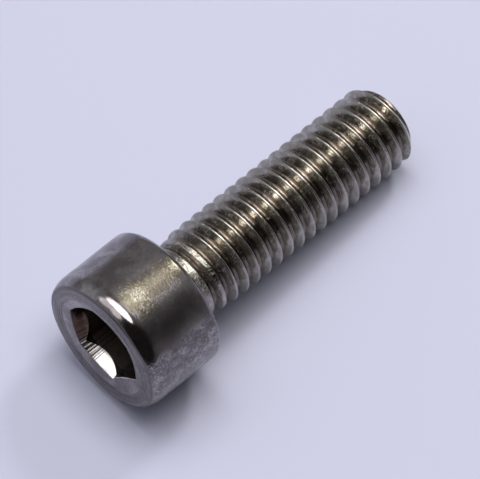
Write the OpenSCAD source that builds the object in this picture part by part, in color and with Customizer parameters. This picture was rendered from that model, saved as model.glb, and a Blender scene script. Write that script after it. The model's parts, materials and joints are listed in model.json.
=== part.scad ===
// Hex socket cap screw with a coarse right-hand thread up to its head. It lies on its
// side, on the head's lower rim and the last full crest, and its tip points to +X.
// Sizes are in millimetres, +Z is up and the surface that it lies on is z = 0.

/* [Head] */
// Diameter of the round head
head_d = 9.85; // [9.2:0.05:11]
// Height of the head, from its top face to its bearing face
head_h = 5.85; // [5.2:0.05:6.6]
// Length of the crowned part of the head's side, below the top face
crown_len = 0.95; // [0.6:0.05:1.2]
// Radius of the crowned part
crown_r = 1.7; // [1.4:0.05:2.5]
// Radius of the rounding between the crowned part and the top face
top_rim_r = 0.25; // [0.1:0.05:0.4]
// Radius of the rounding on the rim of the bearing face
lower_rim_r = 0.4; // [0.1:0.05:0.6]

/* [Socket] */
// Width of the hex socket across its flats
socket_flats = 5.1; // [4:0.05:5.3]
// Depth of the socket's flats below the top face
socket_depth = 3.1; // [2:0.05:3.6]
// Depth of the shallow cone below the flats
socket_cone_h = 0.4; // [0.1:0.05:0.7]
// Diameter of the bevel round the socket's mouth
mouth_d = 6.9; // [6.4:0.05:7.2]
// Angle between the mouth's bevel and the axis
mouth_angle = 80; // [60:1:84]
// How far the punch has drawn the top face down at the mouth
dish_depth = 0.1; // [0.02:0.01:0.2]
// Width of the flat ring that is left round the drawn-down part
flat_w = 0.3; // [0.1:0.05:0.4]
// Angle of one socket corner about the axis, from the underside
socket_angle = 39.6; // [0:0.1:60]

/* [Thread] */
// Diameter over the thread's crests
thread_d = 5.94; // [5.6:0.02:6.2]
// Pitch of the thread
pitch = 1; // [0.75:0.05:1.25]
// Length of the screw below its head
length = 19.75; // [12:0.05:40]
// Angle at which the thread is turned about the axis, from the underside
thread_angle = 190.8; // [0:0.1:360]
// Width of the thread's flat crest
crest_w = 0.16; // [0.1:0.01:0.2]
// Depth of the tip's flat end below the thread's root
tip_step = 0.05; // [0.02:0.01:0.5]
// Angle between the tip's bevel and the axis
tip_angle = 45; // [30:1:60]

/* [Neck] */
// Length of the plain neck between the bearing face and the thread
neck_len = 1.25; // [0.8:0.05:2.5]
// Length over which the thread's crests rise out of the neck to their full height
runout_len = 1.7; // [0.5:0.05:2.5]
// Length over which the thread's grooves reach their full depth
groove_len = 0.4; // [0.2:0.05:1]
// Radius of the fillet between the bearing face and the neck
fillet_r = 0.4; // [0.2:0.05:0.6]

/* [Finish] */
// Facets in each turn of the thread
turn_facets = 48; // [24:12:60]

/* [Hidden] */
$fn = 96;

head_r = head_d / 2;
// Centres of the two arcs that round the head's top rim, the wide one and the small one
crown_x = head_r - crown_r;
rim_x = crown_x + sqrt((crown_r - top_rim_r) ^ 2 - (crown_len - top_rim_r) ^ 2);
// Where the small arc takes over from the wide one
crown_share = crown_r / (crown_r - top_rim_r);
crown_s = crown_len - (crown_len - top_rim_r) * crown_share;
dish_r = rim_x - flat_w;
mouth_r = mouth_d / 2;
dish_slope = (dish_r - mouth_r) / dish_depth;
mouth_h = mouth_r / tan(mouth_angle);
// The cone below the flats starts just inside them
cone_r = socket_flats / 2 - 0.02;
// How far a cut runs past the face that it opens
over = 0.5;

// Thread form of the metric profile: a narrow flat crest, 60 degree flanks, a round root
thread_r = thread_d / 2;
crest_half = crest_w / 2;
root_r = 0.1443 * pitch;
flank_angle = 30;
flank_end = pitch / 2 - root_r * cos(flank_angle);
flank_depth = (flank_end - crest_half) / tan(flank_angle);
root_depth = flank_depth + root_r * (1 - sin(flank_angle));
tip_r = thread_r - root_depth - tip_step;
tip_s = head_h + length;

// A rolled thread rises as far above the plain neck as it sinks below it
neck_r = thread_r - 0.6495 * pitch / 2;
neck_step = 0.02;
neck_end_s = head_h + neck_len;
// How far the thread's solid starts inside the neck
neck_overlap = 0.3;
start_s = neck_end_s - neck_overlap;

// The profile's break points in one pitch: distance past the crest's middle, radius, and
// the way in which the point moves where the crest is lower, and so wider
PROFILE = [
    [-crest_half, thread_r, -1],
    [crest_half, thread_r, 1],
    [flank_end, thread_r - flank_depth, 0],
    [pitch / 2, thread_r - root_depth, 0],
    [pitch - flank_end, thread_r - flank_depth, 0]
];
steps = len(PROFILE);

// A crest's middle at the underside, on the first turn that starts behind the neck's end
crest_s = head_h + pitch * thread_angle / 360;
first_turn = floor((neck_end_s - crest_s) / pitch) - 1;
turns = ceil((tip_s - crest_s) / pitch) + 1 - first_turn;
rows = turns * steps;

// The last crest at the underside that the tip's bevel leaves whole
bevel_len = (thread_r - tip_r) / tan(tip_angle);
whole_turns = floor((tip_s - bevel_len - crest_half - crest_s) / pitch);
rest_s = crest_s + whole_turns * pitch + crest_half;

// The screw lies on the line that touches the rounded lower rim and that crest
rim_s = head_h - lower_rim_r;
rim_reach = head_r - lower_rim_r;
rest_run = rest_s - rim_s;
rest_drop = rim_reach - thread_r;
tilt = atan(rest_drop / rest_run) + asin(lower_rim_r / norm([rest_run, rest_drop]));
axis_z = rim_s * sin(tilt) + rim_reach * cos(tilt) + lower_rim_r;

// Lowest and highest x of the tilted screw, before it is centred
head_x = top_rim_r * cos(tilt) - rim_x * sin(tilt) - top_rim_r;
tip_x = tip_s * cos(tilt) + tip_r * sin(tilt);

// Share of the way that the distance s from the top face is along a run-out
function share(s, run) = max(0, min(1, (s - neck_end_s) / run));

// Radius to which the crests have risen at the distance s
function crest_radius(s) = neck_r + share(s, runout_len) * (thread_r - neck_r);

// Radius of the thread, from the radius r of its full form at the distance s
function thread_radius(r, s) =
    min(crest_radius(s),
        neck_r - neck_step + share(s, groove_len) * (r - neck_r + neck_step),
        tip_r + (tip_s - s) * tan(tip_angle));

// Distance from the top face of one break point, kept between the thread's two ends
function thread_s(j, i) =
    let (middle = crest_s + pitch * (first_turn + floor(i / steps) + j / turn_facets))
    let (step = PROFILE[i % steps])
    let (spread = step[2] * (thread_r - crest_radius(middle)) * tan(flank_angle))
    max(neck_end_s, min(tip_s, middle + step[0] + spread));

// The points along one straight section of the thread: its start inside the neck, and
// then every break point
function section_points(j) =
    let (a = 360 * j / turn_facets)
    [
        for (i = [-1 : rows - 1])
            let (s = i < 0 ? start_s : thread_s(j, i))
            let (r = i < 0 ? neck_r - neck_step : thread_radius(PROFILE[i % steps][1], s))
            [r * cos(a), r * sin(a), s]
    ];

// Number of the point in row i of section j, where a full turn leads one pitch on
function point(j, i) =
    j < turn_facets ? j * (rows + 1) + i
    : i == 0 ? 0
    : min(i + steps, rows);

module socket() {
    rotate(socket_angle)
        translate([0, 0, -over])
            cylinder(d = socket_flats / cos(30), h = socket_depth + over, $fn = 6);
    // The drawn-down part of the top face, and the bevel at the mouth
    translate([0, 0, -over])
        cylinder(r1 = dish_r + over * dish_slope, r2 = mouth_r, h = dish_depth + over);
    translate([0, 0, dish_depth])
        cylinder(r1 = mouth_r, r2 = 0, h = mouth_h);
    translate([0, 0, socket_depth - over])
        cylinder(r = cone_r, h = over);
    translate([0, 0, socket_depth])
        cylinder(r1 = cone_r, r2 = 0, h = socket_cone_h);
}

module head() {
    difference() {
        rotate_extrude() {
            // The crowned top rim: a small arc at the top face, then a wide one
            square([rim_x, head_h]);
            translate([rim_x, top_rim_r])
                circle(top_rim_r);
            intersection() {
                translate([crown_x, crown_len])
                    circle(crown_r);
                translate([0, crown_s])
                    square([head_r, crown_len - crown_s]);
            }
            // The straight side and the rounded lower rim
            translate([0, crown_len])
                square([head_r, head_h - crown_len - lower_rim_r]);
            translate([head_r - lower_rim_r, head_h - lower_rim_r])
                circle(lower_rim_r);
            translate([0, head_h - over])
                square([head_r - lower_rim_r, over]);
            // The neck and its fillet
            square([neck_r, neck_end_s]);
            translate([0, head_h])
                difference() {
                    square([neck_r + fillet_r, fillet_r]);
                    translate([neck_r + fillet_r, fillet_r])
                        circle(fillet_r);
                }
        }
        socket();
    }
}

module thread() {
    polyhedron(
        points = [for (j = [0 : turn_facets - 1]) each section_points(j)],
        faces = concat(
            [[for (j = [0 : turn_facets - 1]) point(j, 0)]],
            [[for (j = [turn_facets - 1 : -1 : 0]) point(j, rows)]],
            [
                for (j = [0 : turn_facets - 1], i = [0 : rows - 1])
                    [point(j, i), point(j, i + 1), point(j + 1, i + 1), point(j + 1, i)]
            ]
        )
    );
}

module cap_screw() {
    color("silver")
        translate([-(head_x + tip_x) / 2, 0, axis_z])
            rotate([0, 90 + tilt, 0]) {
                head();
                thread();
            }
}

cap_screw();
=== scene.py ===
"""Looks of the hex socket cap screw: its finished surface, the stage, the lights and the camera."""

import json
import math

import bmesh
import bpy
from mathutils import Matrix, Vector


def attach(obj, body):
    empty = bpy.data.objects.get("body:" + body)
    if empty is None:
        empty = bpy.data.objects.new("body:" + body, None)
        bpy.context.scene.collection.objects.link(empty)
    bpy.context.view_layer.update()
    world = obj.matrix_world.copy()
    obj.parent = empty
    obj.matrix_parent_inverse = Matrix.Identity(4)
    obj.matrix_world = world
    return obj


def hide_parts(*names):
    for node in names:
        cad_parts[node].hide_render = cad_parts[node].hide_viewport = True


bl_info = {
    "name": "Cap screw",
    "version": (1, 0, 0),
    "blender": (4, 5, 0),
    "location": "View3D > Sidebar > Cap Screw",
    "description": "Makes a rolled hex socket cap screw and a small stage to show it on",
    "category": "Object",
}

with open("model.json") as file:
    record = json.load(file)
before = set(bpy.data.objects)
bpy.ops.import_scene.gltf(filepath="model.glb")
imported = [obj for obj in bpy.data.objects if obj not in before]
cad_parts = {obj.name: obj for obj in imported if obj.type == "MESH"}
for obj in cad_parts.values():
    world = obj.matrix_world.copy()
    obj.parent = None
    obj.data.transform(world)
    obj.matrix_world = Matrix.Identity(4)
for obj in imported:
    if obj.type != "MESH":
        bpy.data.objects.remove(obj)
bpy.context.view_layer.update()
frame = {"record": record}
MOUNTS = {mount["name"]: mount for mount in frame["record"]["mounts"]}
MM = 0.001
TURN = 2 * math.pi
UP = Vector((0.0, 0.0, 1.0))

# The screw's own axes: its origin is the middle of the top face, its z runs to the tip, and
# its x points down from the axis.
TOP_CENTRE = Vector(MOUNTS["hex_socket"]["pos_m"])
TO_TIP = -Vector(MOUNTS["hex_socket"]["axis"]).normalized()
ACROSS = Vector((0.0, 1.0, 0.0))
DOWN = ACROSS.cross(TO_TIP)
SCREW_TO_ROW = Matrix.Translation(TOP_CENTRE) @ Matrix((DOWN, ACROSS, TO_TIP)).transposed().to_4x4()

# Facets in each turn of the screw
FACETS = 120
# Half of the thread's angle, between a flank and the radius
FLANK = math.radians(30)
# Depth of a metric thread's basic profile, as a share of its pitch
PROFILE_SHARE = 0.6495
# Turns that the thread is made longer by at each end, before it is cut
SPARE_TURNS = 2
# Points that are closer than this are one
SEAM = 0.0003 * MM
# Edges sharper than this are left unsmoothed, in the socket and elsewhere
SOCKET_CREASE = math.radians(12)
CREASE = math.radians(38)
# Half of the floor's width, in metres
FLOOR_HALF = 0.8

# Places of the materials on the screw's mesh
HEAD, SOCKET, THREAD = range(3)

# Sides of the screw in degrees round the axis from the underside: the line along the top where the panel's
# highlight falls and is tinted with paint, the end of that highlight, sides where the finish changes, and
# the socket wall that is painted with shade
HIGHLIGHT_SIDE = 187
FLECKED_HIGHLIGHT_SIDE = 190
HANDLED_SIDE = 262
SHADED_WALL_SIDE = 80
TORN_SIDE = 44


# ---------------------------------------------------------------------------
# Sizes and colours that a user would change
# ---------------------------------------------------------------------------


def length_property(name, description, default_mm):
    """A length in metres, from its default in millimetres."""
    return bpy.props.FloatProperty(
        name=name, description=description, default=default_mm * MM, min=0.0, precision=6, unit="LENGTH"
    )


def angle_property(name, description, default_degrees):
    """An angle, from its default in degrees."""
    return bpy.props.FloatProperty(
        name=name, description=description, default=math.radians(default_degrees), unit="ROTATION"
    )


def colour_property(name, description, default):
    """A linear colour."""
    return bpy.props.FloatVectorProperty(
        name=name, description=description, default=default, size=3, min=0.0, max=1.0, subtype="COLOR"
    )


def number_property(name, description, default, low=0.0, high=1.0):
    """A plain number with its limits."""
    return bpy.props.FloatProperty(name=name, description=description, default=default, min=low, max=high)


class HeadSizes(bpy.types.PropertyGroup):
    """Sizes of the head and its socket."""

    head_diameter: length_property(
        "Head diameter", "Across the round head", 2 * MOUNTS["head"]["dims"]["r_mm"]
    )
    head_height: length_property("Head height", "From the top face to the bearing face", 5.85)
    crown_length: length_property("Crown length", "Length of the crowned part of the side", 0.95)
    crown_radius: length_property("Crown radius", "Radius of the crowned part", 1.7)
    top_rim: length_property("Top rim", "Radius of the rounding between the crown and the top face", 0.25)
    lower_rim: length_property("Lower rim", "Radius of the rounding on the bearing face's rim", 0.4)
    flat_width: length_property("Flat ring", "Width of the flat ring round the drawn-down part", 0.3)
    dish_depth: length_property("Dish", "How far the punch has drawn the top face down", 0.1)
    mouth_diameter: length_property("Mouth", "Diameter of the bevel at the socket's mouth", 6.9)
    mouth_angle: angle_property("Mouth angle", "Angle between the mouth's bevel and the axis", 80)
    socket_flats: length_property("Across flats", "Width of the hex socket", 5.1)
    socket_depth: length_property(
        "Socket depth", "Depth of the socket's flats", MOUNTS["hex_socket"]["dims"]["length_mm"]
    )
    socket_cone: length_property("Socket cone", "Depth of the cone below the flats", 0.4)
    socket_angle: angle_property("Socket angle", "Angle of one socket corner from the underside", 39.6)
    lead_depth: length_property("Lead-in", "Depth of the tapered entry in the middle of each flat", 1.15)
    lead_angle: angle_property("Lead-in angle", "Angle between the tapered entry and the axis", 20)
    lead_drop: length_property("Lead-in drop", "How much shallower the entry is on one flat", 0.85)
    lead_side: angle_property("Lead-in side", "Angle of the flat with the shallow entry", -50.4)
    lead_radius: length_property("Lead-in radius", "Radius of the tapered entry across each flat", 5.4)
    edge_round: length_property("Edge rounding", "Radius of the worn edges round the mouth", 0.07)


class ThreadSizes(bpy.types.PropertyGroup):
    """Sizes of the neck and the thread."""

    thread_diameter: length_property(
        "Thread", "Diameter over the crests", 2 * MOUNTS["thread"]["dims"]["r_mm"]
    )
    pitch: length_property("Pitch", "Distance from one crest to the next", 1.0)
    length: length_property("Length", "Length of the screw below its head", 19.75)
    thread_angle: angle_property("Thread angle", "How far the thread is turned from the underside", 190.8)
    neck_length: length_property("Neck", "Plain length between the bearing face and the thread", 1.25)
    runout_length: length_property("Run-out", "Length over which the crests rise to full height", 1.7)
    groove_length: length_property("Groove run-out", "Length over which the grooves reach full depth", 0.4)
    fillet: length_property("Fillet", "Radius of the fillet under the head", 0.4)
    crest_width: length_property("Crest width", "Width of the crest between its flanks", 0.10)
    crest_round: length_property("Crest rounding", "How far the crest's edges are rounded off", 0.045)
    root_radius: length_property("Root radius", "Radius of the groove's round root", 0.196)
    tip_step: length_property("Tip step", "Depth of the flat end below the thread's root", 0.05)
    tip_angle: angle_property("Tip angle", "Angle between the tip's bevel and the axis", 45)


class FinishLook(bpy.types.PropertyGroup):
    """Colours and wear of the steel, with the colours that paint a tint on the highlight and shade in the
    socket and the grooves.
    """

    steel: colour_property("Steel", "Clean turned steel", (0.64, 0.62, 0.61))
    tarnish: colour_property("Tarnish", "Grey film on the head", (0.235, 0.213, 0.217))
    # Painted highlight: a warm dark colour laid only along the top where the panel's highlight falls, to
    # tint and dim that highlight
    highlight_tint: colour_property("Ivory", "Warm film along the top of the head", (0.145, 0.13, 0.096))
    blotch: colour_property("Blotches", "Dark spots and pits", (0.135, 0.118, 0.12))
    # The next two colours are also painted as shade: down the socket, on one of its walls and in the
    # thread's grooves
    oil_and_shade: colour_property("Oil film", "Warm film in the thread and the socket", (0.30, 0.283, 0.24))
    grime_and_shade: colour_property("Grime", "Brown dirt deep in the thread and the socket", (0.10, 0.065, 0.05))
    film: number_property("Film", "How much film lies on the cleanest steel", 0.6)
    wear: number_property("Wear", "How deep the scratches and the grain look", 1.0, 0.0, 3.0)


class StageLook(bpy.types.PropertyGroup):
    """The floor, the camera, the room and the lamps."""

    floor: colour_property("Floor", "Pale table top", (0.55, 0.565, 0.725))
    camera_azimuth: angle_property("Camera azimuth", "Where the camera stands round the screw", -44.337)
    camera_elevation: angle_property("Camera elevation", "How high the camera stands", 63.063)
    camera_roll: angle_property("Camera roll", "How far the camera is turned about its view", 0.2654)
    camera_distance: length_property("Camera distance", "From the camera's plane to the top face", 215.697)
    camera_left: length_property("Camera left", "How far left of the middle the top face lies", 8.7305)
    camera_below: length_property("Camera below", "How far below the middle the top face lies", 6.7853)
    lens: number_property("Lens", "Focal length in millimetres on a 36 mm sensor", 257.7, 10.0, 1000.0)
    room: colour_property("Room", "Light from most of the room", (0.23, 0.225, 0.235))
    window: colour_property("Window side", "Light from the side left of the camera", (0.41, 0.42, 0.45))
    shade: colour_property("Shade", "Dark place behind the camera", (0.02, 0.018, 0.018))
    panel_height: length_property("Panel height", "How high the light panel hangs", 450.0)
    panel_light: number_property("Panel light", "Brightness of the light panel", 7.0, 0.0, 20.0)
    glint: number_property("Glint", "Brightness of the small bright places overhead", 2.3, 0.0, 20.0)
    spot_light: number_property("Spot light", "Brightness of the lamp beyond the panel", 23.0, 0.0, 50.0)
    lamp_colour: colour_property("Lamp colour", "Slightly warm light of both lamps", (1.0, 0.98, 0.95))


# ---------------------------------------------------------------------------
# Node helpers
# ---------------------------------------------------------------------------


def add(tree, kind, inputs=None, **settings):
    """A new node with its settings made and its inputs set or linked."""
    node = tree.nodes.new(kind)
    for name, value in settings.items():
        setattr(node, name, value)
    for key, value in (inputs or {}).items():
        if isinstance(value, bpy.types.NodeSocket):
            tree.links.new(value, node.inputs[key])
        else:
            node.inputs[key].default_value = value
    return node


def calc(tree, operation, *values):
    """The result of a Math node."""
    return add(tree, "ShaderNodeMath", dict(enumerate(values)), operation=operation).outputs[0]


def mix(tree, share, first, second):
    """A colour between two colours."""
    colours = {
        key: value if isinstance(value, bpy.types.NodeSocket) else (*value, 1.0)
        for key, value in ((6, first), (7, second))
    }
    return add(tree, "ShaderNodeMix", {0: share, **colours}, data_type="RGBA").outputs[2]


def ramp(tree, value, start, end, low=0.0, high=1.0):
    """A smooth step from low at the value start to high at the value end."""
    given = {"Value": value, "From Min": start, "From Max": end, "To Min": low, "To Max": high}
    return add(tree, "ShaderNodeMapRange", given, interpolation_type="SMOOTHSTEP").outputs[0]


def product(tree, *values):
    """Several values multiplied together."""
    result = values[0]
    for value in values[1:]:
        result = calc(tree, "MULTIPLY", result, value)
    return result


def total(tree, *values):
    """The sum of several values, where a tuple stands for the product of what it holds."""
    result = None
    for value in values:
        if isinstance(value, tuple):
            value = product(tree, *value)
        result = value if result is None else calc(tree, "ADD", result, value)
    return result


def between(tree, mask, low, high):
    """A value that goes from low where the mask is 0 to high where it is 1."""
    return ramp(tree, mask, 0.0, 1.0, low, high)


def painted(tree, colour, *layers):
    """A colour with layers over it in their order, each of them (its share, its colour)."""
    for share, paint in layers:
        colour = mix(tree, share, colour, paint)
    return colour


def scaled(tree, vector, factors):
    """A vector with each part multiplied by its own factor."""
    return add(tree, "ShaderNodeVectorMath", {0: vector, 1: factors}, operation="MULTIPLY").outputs[0]


def cloud(tree, vector, scale, detail=2.0):
    """Noise about zero, from -0.5 to 0.5."""
    noise = add(
        tree, "ShaderNodeTexNoise", {"Vector": vector, "Scale": scale, "Detail": detail, "Roughness": 0.6}
    ).outputs[0]
    return calc(tree, "SUBTRACT", noise, 0.5)


def new_group(name, kind, inputs, outputs):
    """A node group with named inputs and outputs: (its tree, its input node, its output node)."""
    tree = bpy.data.node_groups.new(name, kind)
    for label, socket, default in inputs:
        made = tree.interface.new_socket(label, in_out="INPUT", socket_type=socket)
        if default is not None:
            made.default_value = default
    for label, socket in outputs:
        tree.interface.new_socket(label, in_out="OUTPUT", socket_type=socket)
    return tree, tree.nodes.new("NodeGroupInput"), tree.nodes.new("NodeGroupOutput")


# ---------------------------------------------------------------------------
# Shape of the head, the neck and the tip, as rings of points
# ---------------------------------------------------------------------------


def bend(start, corner, end, steps):
    """Points on a curve from start to end that rounds the corner between them."""
    points = []
    for i in range(steps + 1):
        t = i / steps
        points.append(tuple(
            (1 - t) ** 2 * a + 2 * t * (1 - t) * b + t ** 2 * c for a, b, c in zip(start, corner, end)
        ))
    return points


def arc(centre, radius, from_degrees, to_degrees, steps):
    """Points (reach, distance) on an arc round a centre."""
    start = math.radians(from_degrees)
    step = math.radians(to_degrees - from_degrees) / steps
    angles = [start + step * i for i in range(steps + 1)]
    return [(centre[0] + radius * math.cos(a), centre[1] + radius * math.sin(a)) for a in angles]


def stretch(start, end, steps):
    """Points between start and end, without those two."""
    return [tuple(a + (b - a) * i / steps for a, b in zip(start, end)) for i in range(1, steps)]


def shifted(point, direction, distance):
    """The point a distance away in a direction."""
    return tuple(a + distance * b for a, b in zip(point, direction))


def crown_centres(sizes):
    """Reach of the centres of the top rim's small arc and of its wide arc."""
    wide = sizes.head_diameter / 2 - sizes.crown_radius
    apart = sizes.crown_radius - sizes.top_rim
    return wide + math.sqrt(apart ** 2 - (sizes.crown_length - sizes.top_rim) ** 2), wide


def mouth_points(sizes):
    """The mouth's edge and the outer edge of the drawn-down part, as (reach, distance)."""
    rim, _ = crown_centres(sizes)
    return (sizes.mouth_diameter / 2, sizes.dish_depth), (rim - sizes.flat_width, 0.0)


def socket_outline(sizes, angle):
    """Points (reach, distance) of the socket at one angle, from the middle of its bottom to its mouth."""
    side = math.radians(60)
    off_middle = (angle - sizes.socket_angle) % side - side / 2
    half_flats = sizes.socket_flats / 2
    wall = half_flats / math.cos(off_middle)
    # The cone below the flats starts just inside them
    cone = half_flats - 0.02 * MM
    depth = sizes.socket_depth
    soft = sizes.edge_round
    mouth, _ = mouth_points(sizes)
    bevel = math.tan(sizes.mouth_angle)
    lead = math.tan(sizes.lead_angle)
    curve = sizes.lead_radius
    # The punch stood a little crooked, so that it left one flat almost whole
    crooked = max(0.0, math.cos(angle - off_middle - sizes.lead_side)) ** 4
    lead_end = sizes.lead_depth - sizes.lead_drop * crooked

    def lead_reach(distance):
        """Reach of the tapered entry, an arc across the flat that narrows with the depth."""
        centre = half_flats + (lead_end - distance) * lead - curve
        return centre * math.cos(off_middle) + math.sqrt(curve ** 2 - (centre * math.sin(off_middle)) ** 2)

    def bevel_distance(reach):
        """Distance of the mouth's bevel from the top face at a reach."""
        return mouth[1] + (mouth[0] - reach) / bevel

    crease = lead_end - (curve - math.sqrt(curve ** 2 - (wall * math.sin(off_middle)) ** 2)) / lead
    entry = (wall, bevel_distance(wall))
    inwards = (0.0, 1.0)
    if crease > entry[1]:
        # Here the tapered entry cuts the flat, down to the crease; a few rounds find its upper edge
        for _ in range(6):
            reach = lead_reach(entry[1])
            entry = (reach, bevel_distance(reach))
        inwards = (-math.sin(sizes.lead_angle), math.cos(sizes.lead_angle))
    outwards = (math.sin(sizes.mouth_angle), -math.cos(sizes.mouth_angle))
    lip = bend(shifted(entry, inwards, soft), entry, shifted(entry, outwards, soft), 4)
    # The crease stays below the lip
    crease = (wall, max(crease, lip[0][1] + 0.01 * MM))
    bottom = [(0.0, depth + sizes.socket_cone)]
    bottom += stretch(bottom[0], (cone, depth), 4)
    bottom += [(cone, depth), (wall, depth)]
    return bottom + stretch(bottom[-1], crease, 5) + [crease] + stretch(crease, lip[0], 3) + lip


def face_outline(sizes, entry):
    """Points (reach, distance) of the mouth's bevel, the drawn-down part and the flat ring."""
    mouth, dish = mouth_points(sizes)
    soft = sizes.edge_round
    outwards = (Vector(dish) - Vector(mouth)).normalized()
    inwards = (Vector(entry) - Vector(mouth)).normalized()
    brim = bend(shifted(mouth, inwards, soft), mouth, shifted(mouth, outwards, soft), 4)
    rim, _ = crown_centres(sizes)
    edge = bend(shifted(dish, outwards, -soft), dish, shifted(dish, (1.0, 0.0), soft), 4)
    return (
        stretch(entry, brim[0], 3) + brim + stretch(brim[-1], edge[0], 5) + edge
        + stretch(edge[-1], (rim, 0.0), 3)
    )


def head_outline(sizes, thread):
    """Points (reach, distance) of the head's side and the neck, from the top rim to the thread."""
    reach = sizes.head_diameter / 2
    height = sizes.head_height
    top = sizes.top_rim
    low = sizes.lower_rim
    fillet = thread.fillet
    neck = neck_radius(thread)
    neck_end = height + thread.neck_length
    rim, wide = crown_centres(sizes)
    change = math.degrees(math.atan2(top - sizes.crown_length, rim - wide))
    crown = arc((rim, top), top, -90, change, 6)
    crown += arc((wide, sizes.crown_length), sizes.crown_radius, change, 0, 12)[1:]
    lower = arc((reach - low, height - low), low, 0, 90, 7)
    hollow = arc((neck + fillet, height + fillet), fillet, -90, -180, 7)
    side = crown + stretch(crown[-1], lower[0], 7) + lower + stretch(lower[-1], hollow[0], 4)
    return side, hollow + stretch(hollow[-1], (neck, neck_end), 4) + [(neck, neck_end)]


def neck_radius(thread):
    """Radius of the plain neck, which is half-way up the thread."""
    return thread.thread_diameter / 2 - PROFILE_SHARE * thread.pitch / 2


def root_depth(thread):
    """Depth of the thread below its crests: its flanks run down to the rounded root."""
    curve = thread.root_radius
    flank_end = thread.pitch / 2 - curve * math.cos(FLANK)
    return (flank_end - thread.crest_width / 2) / math.tan(FLANK) + curve * (1 - math.sin(FLANK))


def tip_radius(thread):
    """Radius of the flat end."""
    return thread.thread_diameter / 2 - root_depth(thread) - thread.tip_step


def thread_outline(thread):
    """Points (distance past the crest's middle, reach) of one pitch of the rolled thread."""
    crest = thread.thread_diameter / 2
    half = thread.crest_width / 2
    soft = thread.crest_round
    down_flank = (math.sin(FLANK), -math.cos(FLANK))
    edge = bend((half - soft, crest), (half, crest), shifted((half, crest), down_flank, soft), 3)
    # The root turns through the angle between a flank and the axis, to its deepest point
    curve = thread.root_radius
    centre = (thread.pitch / 2, crest - root_depth(thread) + curve)
    root = arc(centre, curve, math.degrees(FLANK) - 180, -90, 4)
    side = edge + stretch(edge[-1], root[0], 8) + root
    mirrored = [(thread.pitch - x, y) for x, y in side[-2::-1]]
    return [(0.0, crest)] + side + mirrored


def mesh_from_rings(name, strips):
    """A mesh of quads between rings of points; a strip is (its rings, the material of each band)."""
    points, faces, materials = [], [], []
    for rings, bands in strips:
        count = len(rings[0])
        for i, band in enumerate(bands):
            start = len(points) + i * count
            for j in range(count):
                k = (j + 1) % count
                faces.append((start + j, start + count + j, start + count + k, start + k))
                materials.append(band)
        points += [point for ring in rings for point in ring]
    mesh = bpy.data.meshes.new(name)
    mesh.from_pydata(points, [], faces)
    mesh.polygons.foreach_set("material_index", materials)
    return mesh


def spin(outline_at, angles):
    """Rings of points about the screw's axis from an outline (reach, distance) at each angle."""
    outlines = [outline_at(angle) for angle in angles]
    return [
        [(r * math.cos(a), r * math.sin(a), s) for a, (r, s) in zip(angles, ring)]
        for ring in zip(*outlines)
    ]


# ---------------------------------------------------------------------------
# The thread, as a Geometry Nodes tree
# ---------------------------------------------------------------------------


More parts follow.
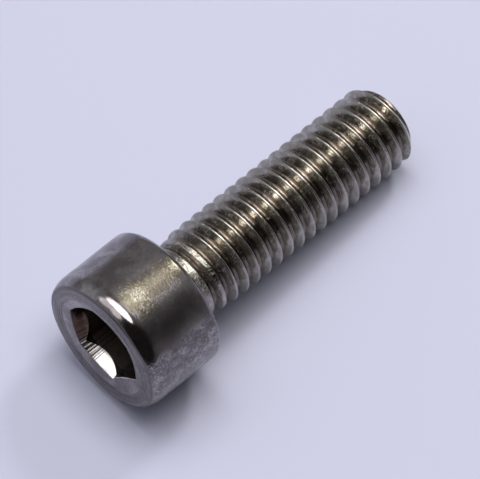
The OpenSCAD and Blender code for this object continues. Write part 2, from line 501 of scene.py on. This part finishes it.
def thread_tree():
    """Adds a helical thread between the neck and the tip of the turned blank."""
    tree, given, result = new_group(
        "Rolled thread",
        "GeometryNodeTree",
        [
            ("Blank", "NodeSocketGeometry", None),
            ("Outline", "NodeSocketObject", None),
            ("Outline Points", "NodeSocketInt", 32),
            ("Turns", "NodeSocketInt", 20),
            ("Facets", "NodeSocketInt", FACETS),
            ("First Angle", "NodeSocketFloat", 0.0),
            ("First Crest", "NodeSocketFloat", 0.0),
            ("Pitch", "NodeSocketFloat", 0.001),
            ("Crest Radius", "NodeSocketFloat", 0.003),
            ("Neck Radius", "NodeSocketFloat", 0.002),
            ("Neck End", "NodeSocketFloat", 0.007),
            ("Run-out Length", "NodeSocketFloat", 0.001),
            ("Groove Length", "NodeSocketFloat", 0.001),
            ("Tip Radius", "NodeSocketFloat", 0.002),
            ("Tip End", "NodeSocketFloat", 0.025),
            ("Tip Slope", "NodeSocketFloat", 1.0),
            ("Material", "NodeSocketMaterial", None),
        ],
        [("Screw", "NodeSocketGeometry")],
    )
    get = given.outputs
    row_count = calc(tree, "ADD", product(tree, get["Turns"], get["Outline Points"]), 1.0)
    columns = calc(tree, "ADD", get["Facets"], 1.0)
    grid = add(
        tree, "GeometryNodeMeshGrid",
        {"Vertices X": columns, "Vertices Y": row_count, "Size X": 1.0, "Size Y": 1.0},
    ).outputs["Mesh"]

    def divided(number, size):
        """How often a size goes into a whole number, and what is left over."""
        times = calc(tree, "FLOOR", calc(tree, "DIVIDE", calc(tree, "ADD", number, 0.5), size))
        return times, calc(tree, "SUBTRACT", number, product(tree, times, size))

    # Which straight section, turn and step of the outline each grid point belongs to
    section, row = divided(add(tree, "GeometryNodeInputIndex").outputs[0], row_count)
    turn, step = divided(row, get["Outline Points"])
    past_first = calc(tree, "DIVIDE", product(tree, section, TURN), get["Facets"])
    angle = calc(tree, "ADD", get["First Angle"], past_first)

    # The outline's point in that row: its distance past the crest and its reach
    outline = add(tree, "GeometryNodeObjectInfo", {"Object": get["Outline"]}).outputs["Geometry"]
    place = add(tree, "GeometryNodeInputPosition").outputs[0]
    whole_step = add(tree, "FunctionNodeFloatToInt", {0: step}, rounding_mode="ROUND").outputs[0]
    sample = add(
        tree, "GeometryNodeSampleIndex", {"Geometry": outline, "Value": place, "Index": whole_step},
        data_type="FLOAT_VECTOR", domain="POINT",
    ).outputs["Value"]
    outline_point = add(tree, "ShaderNodeSeparateXYZ", {0: sample})
    past_crest, full_reach = outline_point.outputs[0], outline_point.outputs[1]

    # The helix: one pitch further with every turn, held between the neck and the tip
    turns_done = calc(tree, "ADD", turn, calc(tree, "DIVIDE", angle, TURN))
    run = calc(tree, "MULTIPLY_ADD", turns_done, get["Pitch"], get["First Crest"])
    along = calc(tree, "ADD", run, past_crest)
    along = calc(tree, "MINIMUM", calc(tree, "MAXIMUM", along, get["Neck End"]), get["Tip End"])

    # Crests and grooves grow out of the neck, each over its own length, up to the tip's bevel
    past_neck = calc(tree, "SUBTRACT", along, get["Neck End"])

    def grown(full, length):
        """A reach that goes from the neck's to its full one over a length."""
        share = add(tree, "ShaderNodeClamp", {0: calc(tree, "DIVIDE", past_neck, length)}).outputs[0]
        rise = calc(tree, "SUBTRACT", full, get["Neck Radius"])
        return calc(tree, "MULTIPLY_ADD", share, rise, get["Neck Radius"])

    to_tip = calc(tree, "SUBTRACT", get["Tip End"], along)
    bevel = calc(tree, "MULTIPLY_ADD", to_tip, get["Tip Slope"], get["Tip Radius"])
    crest = grown(get["Crest Radius"], get["Run-out Length"])
    groove = grown(full_reach, get["Groove Length"])
    reach = calc(tree, "MINIMUM", calc(tree, "MINIMUM", crest, groove), bevel)

    # Round the axis
    point = add(
        tree, "ShaderNodeCombineXYZ",
        {
            0: product(tree, reach, calc(tree, "COSINE", angle)),
            1: product(tree, reach, calc(tree, "SINE", angle)),
            2: along,
        },
    ).outputs[0]
    wound = add(tree, "GeometryNodeSetPosition", {"Geometry": grid, "Position": point}).outputs[0]
    both = add(tree, "GeometryNodeJoinGeometry")
    tree.links.new(wound, both.inputs[0])
    tree.links.new(get["Blank"], both.inputs[0])
    closed = add(
        tree, "GeometryNodeMergeByDistance", {"Geometry": both.outputs[0], "Distance": SEAM}
    ).outputs[0]
    real = add(tree, "GeometryNodeRealizeInstances", {"Geometry": closed}).outputs[0]
    along_now = add(tree, "ShaderNodeSeparateXYZ", {0: place}).outputs[2]
    past_end = calc(tree, "GREATER_THAN", along_now, get["Neck End"])
    finished = add(
        tree, "GeometryNodeSetMaterial",
        {"Geometry": real, "Selection": past_end, "Material": get["Material"]},
    ).outputs[0]
    tree.links.new(finished, result.inputs[0])
    return tree


def give_inputs(modifier, values):
    """Sets a Geometry Nodes modifier's inputs by their names."""
    for item in modifier.node_group.interface.items_tree:
        if item.item_type == "SOCKET" and item.in_out == "INPUT" and item.name in values:
            modifier[item.identifier] = values[item.name]


# ---------------------------------------------------------------------------
# Materials
# ---------------------------------------------------------------------------


def place_group():
    """Puts out a point's place on the screw, in millimetres from the middle of the top face."""
    tree, given, result = new_group(
        "Place on screw", "ShaderNodeTree", [],
        [
            ("Place", "NodeSocketVector"),
            ("Along", "NodeSocketFloat"),
            ("Reach", "NodeSocketFloat"),
            ("Angle", "NodeSocketFloat"),
            ("Round", "NodeSocketVector"),
        ],
    )
    tree.nodes.remove(given)
    coordinates = add(tree, "ShaderNodeTexCoord").outputs["Object"]
    place = add(
        tree, "ShaderNodeMapping",
        {
            "Vector": coordinates,
            "Location": SCREW_TO_ROW.to_translation(),
            "Rotation": SCREW_TO_ROW.to_euler(),
            "Scale": (MM, MM, MM),
        },
        vector_type="TEXTURE",
    ).outputs[0]
    parts = add(tree, "ShaderNodeSeparateXYZ", {0: place}).outputs
    across = add(tree, "ShaderNodeCombineXYZ", {0: parts[0], 1: parts[1]}).outputs[0]
    reach = add(tree, "ShaderNodeVectorMath", {0: across}, operation="LENGTH").outputs["Value"]
    angle = calc(tree, "ARCTAN2", parts[1], parts[0])
    # Lines that keep their reach, and change slowly on their way round
    slow = 0.03
    round_lines = add(
        tree, "ShaderNodeCombineXYZ",
        {0: reach, 1: product(tree, parts[0], slow), 2: product(tree, parts[1], slow)},
    ).outputs[0]
    found = {"Place": place, "Along": parts[2], "Reach": reach, "Angle": angle, "Round": round_lines}
    for name, socket in found.items():
        tree.links.new(socket, result.inputs[name])
    return tree


def patches_group():
    """Puts out a mask of soft-edged patches."""
    tree, given, result = new_group(
        "Patches", "ShaderNodeTree",
        [
            ("Vector", "NodeSocketVector", None),
            ("Scale", "NodeSocketFloat", 1.0),
            ("Detail", "NodeSocketFloat", 3.0),
            ("Edge", "NodeSocketFloat", 0.0),
            ("Softness", "NodeSocketFloat", 0.1),
        ],
        [("Mask", "NodeSocketFloat")],
    )
    get = given.outputs
    value = cloud(tree, get["Vector"], get["Scale"], get["Detail"])
    start = calc(tree, "SUBTRACT", get["Edge"], get["Softness"])
    end = calc(tree, "ADD", get["Edge"], get["Softness"])
    tree.links.new(ramp(tree, value, start, end), result.inputs[0])
    return tree


def scratches_group():
    """Puts out a mask of thin broken lines, which run where the vector is least stretched."""
    tree, given, result = new_group(
        "Scratches", "ShaderNodeTree",
        [
            ("Vector", "NodeSocketVector", None),
            ("Stretch", "NodeSocketVector", (1.0, 1.0, 1.0)),
            ("Width", "NodeSocketFloat", 0.01),
            ("Share", "NodeSocketFloat", 0.5),
        ],
        [("Mask", "NodeSocketFloat")],
    )
    get = given.outputs
    stretched = scaled(tree, get["Vector"], get["Stretch"])
    line = calc(tree, "ABSOLUTE", cloud(tree, stretched, 1.0, 1.0))
    line = ramp(tree, line, 0.0, get["Width"], 1.0, 0.0)
    # The lines are whole where a slow cloud and the share come to more than a half
    whole = calc(tree, "ADD", cloud(tree, get["Vector"], 1.7, 1.0), get["Share"])
    whole = ramp(tree, whole, 0.47, 0.53)
    tree.links.new(product(tree, line, whole), result.inputs[0])
    return tree


def make_groups():
    """The node groups that the steel's materials share."""
    return {"place": place_group(), "patches": patches_group(), "scratches": scratches_group()}


def use(tree, group, inputs=None):
    """The outputs of a node group placed in a material."""
    return add(tree, "ShaderNodeGroup", inputs, node_tree=group).outputs


def base_material(name, colour, roughness, metallic=1.0):
    """A material with its Principled shader: (material, its tree, the shader)."""
    material = bpy.data.materials.new(name)
    material.use_nodes = True
    tree = material.node_tree
    shader = tree.nodes["Principled BSDF"]
    shader.inputs["Base Color"].default_value = (*colour, 1.0)
    shader.inputs["Roughness"].default_value = roughness
    shader.inputs["Metallic"].default_value = metallic
    return material, tree, shader


def set_surface(tree, shader, colour, roughness, height, depth):
    """Links a colour, a roughness and a height in millimetres to the shader."""
    bump = add(tree, "ShaderNodeBump", {"Strength": 1.0, "Distance": depth * MM, "Height": height})
    tree.links.new(colour, shader.inputs["Base Color"])
    tree.links.new(roughness, shader.inputs["Roughness"])
    tree.links.new(bump.outputs[0], shader.inputs["Normal"])


def facing(tree, angle, degrees, start, end):
    """A mask that is 1 round one angle about the axis; start and end are cosines of the way off it."""
    off = calc(tree, "COSINE", calc(tree, "SUBTRACT", angle, math.radians(degrees)))
    return ramp(tree, off, start, end)


def patches(tree, groups, place, scale, detail, edge, softness):
    """A mask of patches from their group; a higher edge leaves fewer of them."""
    given = {"Vector": place, "Scale": scale, "Detail": detail, "Edge": edge, "Softness": softness}
    return use(tree, groups["patches"], given)[0]


def scratches(tree, groups, place, factors, width, share):
    """A mask of scratches from their group; a higher share leaves more of them whole."""
    given = {"Vector": place, "Stretch": factors, "Width": width, "Share": share}
    return use(tree, groups["scratches"], given)[0]


def head_material(look, groups):
    """Satin turned steel with a grey film, dark blotches, pits and handling scratches, and a painted tint
    on the panel's highlight along the top.
    """
    material, tree, shader = base_material("satin head steel", look.steel, 0.3)
    at = use(tree, groups["place"])
    place, along, angle = at["Place"], at["Along"], at["Angle"]

    # The face, the polished crown, the handled side, the end of the highlight with its flecks, the line
    # along the top where the panel's highlight falls and is tinted with paint, and the bevel at the
    # socket's mouth
    face = ramp(tree, along, 0.12, 0.05)
    crown = product(tree, ramp(tree, along, 1.25, 0.9), ramp(tree, along, 0.06, 0.2))
    handled = facing(tree, angle, HANDLED_SIDE, 0.84, 0.96)
    off_flecks = calc(tree, "ABSOLUTE", calc(tree, "SUBTRACT", along, 2.1))
    # The end of the highlight near the face: painted darker with the highlight's tint, with flecks of
    # clean steel and rougher grain
    flecked_highlight_end = product(
        tree, facing(tree, angle, FLECKED_HIGHLIGHT_SIDE, 0.95, 0.99), ramp(tree, off_flecks, 1.0, 0.5)
    )
    # Painted highlight: the line where the panel's highlight falls, tinted with paint
    warm = product(tree, facing(tree, angle, HIGHLIGHT_SIDE, 0.975, 0.997), ramp(tree, along, 0.9, 1.3))
    bevel = ramp(tree, at["Reach"], 3.5, 3.42)

    # Marks, from large to small
    film = patches(tree, groups, place, 0.55, 4.0, -0.02, 0.14)
    blotches = patches(tree, groups, place, 1.5, 4.0, 0.10, 0.09)
    specks = patches(tree, groups, place, 6.0, 2.0, 0.16, 0.03)
    dust = patches(tree, groups, place, 7.0, 4.0, 0.03, 0.14)
    grit = patches(tree, groups, place, 9.0, 2.0, 0.02, 0.05)
    long_nicks = scratches(tree, groups, place, (6.5, 6.5, 1.3), 0.10, 0.58)
    cross_nicks = scratches(tree, groups, place, (7.0, 2.0, 3.0), 0.07, 0.5)
    nicks = calc(tree, "MAXIMUM", long_nicks, cross_nicks)
    nicks = product(tree, nicks, between(tree, handled, 0.18, 1.0))
    flecks = scratches(tree, groups, place, (8.0, 8.0, 8.0), 0.06, 0.5)
    grain = cloud(tree, place, 8.0, 3.0)
    lathe_lines = cloud(tree, scaled(tree, place, (0.3, 0.3, 8.0)), 1.0, 2.0)
    face_rings = cloud(tree, at["Round"], 7.5, 1.0)

    filmed = calc(tree, "MAXIMUM", between(tree, film, look.film, 1.0), face)
    spotted = product(tree, specks, between(tree, handled, 0.15, 0.55))
    colour = painted(
        tree, look.steel,
        (filmed, look.tarnish),
        (product(tree, blotches, 0.45), look.blotch),
        (calc(tree, "MAXIMUM", spotted, product(tree, nicks, 0.9)), look.blotch),
        # painted tint on the panel's highlight along the top
        (product(tree, warm, 0.95), look.highlight_tint),
        (product(tree, dust, between(tree, handled, 0.3, 0.85)), look.blotch),
        (product(tree, bevel, grit, 0.5), look.blotch),
        (product(tree, face, ramp(tree, face_rings, 0.08, -0.06)), look.blotch),
        # painted darker tint at the highlight's end, then flecks of clean steel in it
        (product(tree, flecked_highlight_end, 0.9), look.highlight_tint),
        (product(tree, flecked_highlight_end, flecks, 0.4), look.steel),
    )
    roughness = total(tree, 0.18, (crown, -0.11), (face, 0.05), (film, 0.05), (blotches, 0.06))
    height = total(
        tree,
        (grain, between(tree, crown, 0.008, 0.0015)),
        (lathe_lines, between(tree, face, 0.0015, 0.0)),
        (face_rings, between(tree, face, 0.0, 0.08)),
        (grain, flecked_highlight_end, 0.007),
        (specks, between(tree, crown, -0.0015, 0.0)),
        (nicks, -0.003),
    )
    set_surface(tree, shader, colour, roughness, height, look.wear)
    return material


def socket_material(look, groups):
    """Broached steel: bright at the entry, with painted shade that darkens it further down."""
    material, tree, shader = base_material("broached socket steel", look.steel, 0.2)
    at = use(tree, groups["place"])
    place, angle = at["Place"], at["Angle"]
    # Painted shade: the socket is painted darker further down
    deep = ramp(tree, at["Along"], 0.8, 1.35)
    stain = patches(tree, groups, place, 1.1, 3.0, 0.05, 0.1)
    lines = cloud(tree, scaled(tree, place, (1.0, 1.0, 0.04)), 8.0, 2.0)
    # Where the broach tore the metal, its marks run straight out of the socket
    torn = facing(tree, angle, TORN_SIDE, 0.82, 0.90)
    marks_place = add(tree, "ShaderNodeCombineXYZ", {0: product(tree, angle, 24.0)}).outputs[0]
    marks = cloud(tree, marks_place, 1.0, 2.0)

    colour = painted(
        tree, look.steel,
        # painted shade on one wall of the socket
        (facing(tree, angle, SHADED_WALL_SIDE, 0.6, 0.9), look.grime_and_shade),
        # painted shade further down, darker still where the stain patches lie
        (deep, look.oil_and_shade),
        (product(tree, deep, between(tree, stain, 0.6, 0.85)), look.grime_and_shade),
        (product(tree, torn, ramp(tree, marks, 0.0, 0.06, 0.0, 0.9)), look.grime_and_shade),
    )
    roughness = total(tree, 0.14, (deep, 0.3), (stain, 0.05))
    height = total(tree, (lines, between(tree, deep, 0.005, 0.029)), (marks, torn, 0.03))
    set_surface(tree, shader, colour, roughness, height, look.wear)
    return material


def thread_material(look, thread, groups):
    """Rolled thread: clean crests, a warm oily film below them and brown painted shade toward the root."""
    material, tree, shader = base_material("rolled thread steel", look.steel, 0.22)
    at = use(tree, groups["place"])
    place, reach = at["Place"], at["Reach"]
    crest_reach = thread.thread_diameter / 2 / MM
    root_reach = crest_reach - root_depth(thread) / MM
    crest = ramp(tree, reach, crest_reach - 0.09, crest_reach - 0.02)
    # Painted shade: the grooves are painted darker toward the root
    root = ramp(tree, reach, root_reach + 0.3, root_reach + 0.02)
    # The first turns are rougher than the rest
    start = ramp(tree, at["Along"], 9.2, 8.2)
    film = patches(tree, groups, place, 1.3, 4.0, -0.05, 0.15)
    spots = patches(tree, groups, place, 7.0, 2.0, 0.13, 0.04)
    scuffs = scratches(tree, groups, place, (2.0, 9.0, 5.0), 0.05, 0.5)
    rolled = cloud(tree, at["Round"], 9.0, 2.0)
    grain = cloud(tree, place, 7.0, 3.0)
    fine_grain = cloud(tree, place, 11.0, 2.0)

    colour = painted(
        tree, look.steel,
        (between(tree, film, 0.6, 1.0), look.oil_and_shade),
        # painted shade in the grooves
        (product(tree, root, 0.7), look.grime_and_shade),
        (product(tree, spots, 0.35), look.blotch),
        (product(tree, crest, 0.15), look.steel),
    )
    roughness = total(tree, 0.105, (crest, 0.05), (film, 0.05))
    height = total(
        tree,
        (rolled, 0.006),
        (grain, 0.007),
        (fine_grain, between(tree, start, 0.0, 0.03)),
        (scuffs, between(tree, start, -0.005, -0.012)),
    )
    set_surface(tree, shader, colour, roughness, height, look.wear)
    return material


# ---------------------------------------------------------------------------
# Operators
# ---------------------------------------------------------------------------


def fresh_object(name, mesh):
    """A new object in the scene, in place of one of the same name."""
    old = bpy.data.objects.get(name)
    if old:
        bpy.data.objects.remove(old)
    made = bpy.data.objects.new(name, mesh)
    bpy.context.scene.collection.objects.link(made)
    return made


def spun_blank(head, thread):
    """The turned blank with its socket, as a mesh that the thread is added to."""
    angles = [head.socket_angle + TURN * i / FACETS for i in range(FACETS)]
    side, neck = head_outline(head, thread)
    tip_end = head.head_height + thread.length
    tip = tip_radius(thread)

    def front_outline(angle):
        socket = socket_outline(head, angle)
        return socket + face_outline(head, socket[-1]) + side + neck

    def back_outline(_):
        return [(tip, tip_end)] + stretch((tip, tip_end), (0.0, tip_end), 5) + [(0.0, tip_end)]

    front = spin(front_outline, angles)
    back = spin(back_outline, angles)
    # The socket's bands end in the middle of the lip's points, and the neck's start at its fillet
    in_socket = len(socket_outline(head, 0.0)) - 3
    on_neck = len(neck)
    bands = [SOCKET] * in_socket + [HEAD] * (len(front) - 1 - in_socket - on_neck) + [THREAD] * on_neck
    return mesh_from_rings("blank", [(front, bands), (back, [THREAD] * (len(back) - 1))])


class SCREW_OT_make_screw(bpy.types.Operator):
    """Makes the screw: a turned blank with a punched socket and a rolled thread"""

    bl_idname = "cap_screw.make_screw"
    bl_label = "Make Screw"

    def execute(self, context):
        head = context.scene.cap_screw_head
        thread = context.scene.cap_screw_thread
        look = context.scene.cap_screw_finish
        groups = make_groups()
        blank = fresh_object("blank", spun_blank(head, thread))
        thread_steel = thread_material(look, thread, groups)
        for material in (head_material(look, groups), socket_material(look, groups), thread_steel):
            blank.data.materials.append(material)

        outline = thread_outline(thread)
        outline_mesh = bpy.data.meshes.new("thread outline")
        outline_mesh.from_pydata([(x, y, 0.0) for x, y in outline], [], [])
        outline_object = fresh_object("thread outline", outline_mesh)

        first_crest = head.head_height + thread.pitch * thread.thread_angle / TURN
        neck_end = head.head_height + thread.neck_length
        tip_end = head.head_height + thread.length
        # The first turn starts whole turns before the neck's end
        behind = math.ceil(
            (first_crest - neck_end) / thread.pitch + head.socket_angle / TURN + SPARE_TURNS
        )
        modifier = blank.modifiers.new("Thread", "NODES")
        modifier.node_group = thread_tree()
        give_inputs(modifier, {
            "Outline": outline_object,
            "Outline Points": len(outline),
            "Turns": math.ceil((tip_end - neck_end) / thread.pitch) + 2 * SPARE_TURNS,
            "Facets": FACETS,
            "First Angle": head.socket_angle,
            "First Crest": first_crest - behind * thread.pitch,
            "Pitch": thread.pitch,
            "Crest Radius": thread.thread_diameter / 2,
            "Neck Radius": neck_radius(thread),
            "Neck End": neck_end,
            "Run-out Length": thread.runout_length,
            "Groove Length": thread.groove_length,
            "Tip Radius": tip_radius(thread),
            "Tip End": tip_end,
            "Tip Slope": math.tan(thread.tip_angle),
            "Material": thread_steel,
        })
        context.view_layer.update()
        evaluated = blank.evaluated_get(context.evaluated_depsgraph_get())
        mesh = bpy.data.meshes.new_from_object(evaluated)
        blank.modifiers.clear()
        bpy.data.objects.remove(blank)
        bpy.data.objects.remove(outline_object)
        tidy_mesh(mesh)
        mesh.transform(SCREW_TO_ROW)
        screw = fresh_object("screw", mesh)
        screw.data.name = "screw"
        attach(screw, "root")
        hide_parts("cap_screw")
        return {"FINISHED"}


def tidy_mesh(mesh):
    """Drops faces of no area, points the rest outwards and shades them smooth up to sharp edges."""
    work = bmesh.new()
    work.from_mesh(mesh)
    bmesh.ops.remove_doubles(work, verts=work.verts, dist=SEAM)
    bmesh.ops.dissolve_degenerate(work, edges=work.edges, dist=SEAM)
    bmesh.ops.recalc_face_normals(work, faces=work.faces)
    for face in work.faces:
        face.smooth = True
    for edge in work.edges:
        if not edge.is_manifold:
            raise RuntimeError("the screw has an open edge")
        in_socket = all(face.material_index == SOCKET for face in edge.link_faces)
        edge.smooth = edge.calc_face_angle() < (SOCKET_CREASE if in_socket else CREASE)
    work.to_mesh(mesh)
    work.free()


class SCREW_OT_make_stage(bpy.types.Operator):
    """Makes the floor, the lights, the world and the camera"""

    bl_idname = "cap_screw.make_stage"
    bl_label = "Make Stage"

    def execute(self, context):
        look = context.scene.cap_screw_stage
        sides = ((-1, -1), (1, -1), (1, 1), (-1, 1))
        corners = [(x * FLOOR_HALF, y * FLOOR_HALF, 0.0) for x, y in sides]
        mesh = bpy.data.meshes.new("floor")
        mesh.from_pydata(corners, [], [(0, 1, 2, 3)])
        floor = fresh_object("floor", mesh)
        mesh.materials.append(base_material("floor", look.floor, 0.6, 0.0)[0])
        make_world(context.scene, look)
        make_lamps(context.scene, look)
        make_camera(context.scene, look)
        return {"FINISHED"}


def room_axes(look):
    """The level directions to the camera's right and away from the camera."""
    azimuth = look.camera_azimuth
    ahead = Vector((-math.sin(azimuth), math.cos(azimuth), 0.0))
    return ahead.cross(UP), ahead


def camera_axes(look):
    """The camera's right, up and forward in the row's frame."""
    level_right, ahead = room_axes(look)
    back = UP * math.sin(look.camera_elevation) - ahead * math.cos(look.camera_elevation)
    level_up = back.cross(level_right)
    turn = look.camera_roll
    right = level_right * math.cos(turn) + level_up * math.sin(turn)
    up = level_up * math.cos(turn) - level_right * math.sin(turn)
    return right, up, -back


def make_camera(scene, look):
    """A camera that keeps the top face at its place in the view."""
    right, up, forward = camera_axes(look)
    place = TOP_CENTRE + right * look.camera_left + up * look.camera_below - forward * look.camera_distance
    data = bpy.data.cameras.new("camera")
    data.lens = look.lens
    data.sensor_width = 36.0
    data.clip_start = 0.01
    camera = bpy.data.objects.new("camera", data)
    camera.matrix_world = Matrix.Translation(place) @ Matrix((right, up, -forward)).transposed().to_4x4()
    scene.collection.objects.link(camera)
    scene.camera = camera


def room_direction(look, right, ahead, up):
    """A unit vector in the row's frame from its parts in the room."""
    level_right, level_ahead = room_axes(look)
    return (level_right * right + level_ahead * ahead + UP * up).normalized()


def make_world(scene, look):
    """A soft grey room with a brighter side, a dark place behind the camera and two glints overhead."""
    world = bpy.data.worlds.new("room")
    world.use_nodes = True
    tree = world.node_tree
    direction = add(tree, "ShaderNodeTexCoord").outputs["Generated"]

    def zone(centre, outer, inner):
        """A round place in the room: its centre (right, ahead, up) and its outer and inner angles."""
        cosine = add(
            tree, "ShaderNodeVectorMath", {0: direction, 1: room_direction(look, *centre)},
            operation="DOT_PRODUCT",
        ).outputs["Value"]
        return ramp(tree, cosine, math.cos(math.radians(outer)), math.cos(math.radians(inner)))

    window = zone((-0.8, 0.1, 0.55), 60, 25)
    shade = zone((0.42, -0.62, 0.62), 49, 31)
    glints = calc(tree, "MAXIMUM", zone((-0.2, -0.06, 1.0), 13, 9), zone((-0.48, 0.26, 1.0), 13, 8))
    glint_colour = (look.glint,) * 3
    colour = painted(tree, look.room, (window, look.window), (shade, look.shade), (glints, glint_colour))
    tree.links.new(colour, tree.nodes["Background"].inputs["Color"])
    scene.world = world


def make_lamp(scene, look, name, size, light, place):
    """An oval lamp over the screw; its size and its place (right, ahead) are shares of its height."""
    height = look.panel_height
    data = bpy.data.lights.new(name, "AREA")
    data.shape = "ELLIPSE"
    data.size, data.size_y = size[0] * height, size[1] * height
    # The lamp gives as much light as a surface of that brightness and area
    data.energy = light * math.pi * (math.pi / 4) * data.size * data.size_y
    data.color = look.lamp_colour
    made = bpy.data.objects.new(name, data)
    right, ahead = room_axes(look)
    made.location = right * (place[0] * height) + ahead * (place[1] * height) + UP * height
    scene.collection.objects.link(made)
    return made


def make_lamps(scene, look):
    """A wide oval panel that hangs level, and a small round lamp beyond it that faces the screw."""
    panel = make_lamp(scene, look, "panel", (0.42, 0.96), look.panel_light, (0.069, 0.207))
    panel.rotation_euler.z = math.radians(5)
    spot = make_lamp(scene, look, "spot", (0.26, 0.26), look.spot_light, (0.50, 0.71))
    spot.rotation_euler = spot.location.to_track_quat("Z", "Y").to_euler()


class SCREW_PT_panel(bpy.types.Panel):
    """The screw's operators and their sizes"""

    bl_idname = "SCREW_PT_panel"
    bl_label = "Cap Screw"
    bl_space_type = "VIEW_3D"
    bl_region_type = "UI"
    bl_category = "Cap Screw"

    def draw(self, context):
        for operator in OPERATORS:
            self.layout.operator(operator.bl_idname)
        for settings in SETTINGS:
            owner = getattr(context.scene, settings)
            column = self.layout.column()
            for name in owner.__annotations__:
                column.prop(owner, name)


SETTINGS = {
    "cap_screw_head": HeadSizes,
    "cap_screw_thread": ThreadSizes,
    "cap_screw_finish": FinishLook,
    "cap_screw_stage": StageLook,
}
OPERATORS = (SCREW_OT_make_screw, SCREW_OT_make_stage)
CLASSES = (*SETTINGS.values(), *OPERATORS, SCREW_PT_panel)


def register():
    for kind in CLASSES:
        bpy.utils.register_class(kind)
    for name, kind in SETTINGS.items():
        setattr(bpy.types.Scene, name, bpy.props.PointerProperty(type=kind))


def unregister():
    for name in SETTINGS:
        delattr(bpy.types.Scene, name)
    for kind in reversed(CLASSES):
        bpy.utils.unregister_class(kind)


def main():
    register()
    bpy.context.scene.view_settings.view_transform = "Standard"
    bpy.ops.cap_screw.make_screw()
    bpy.ops.cap_screw.make_stage()


if __name__ == "__main__":
    main()
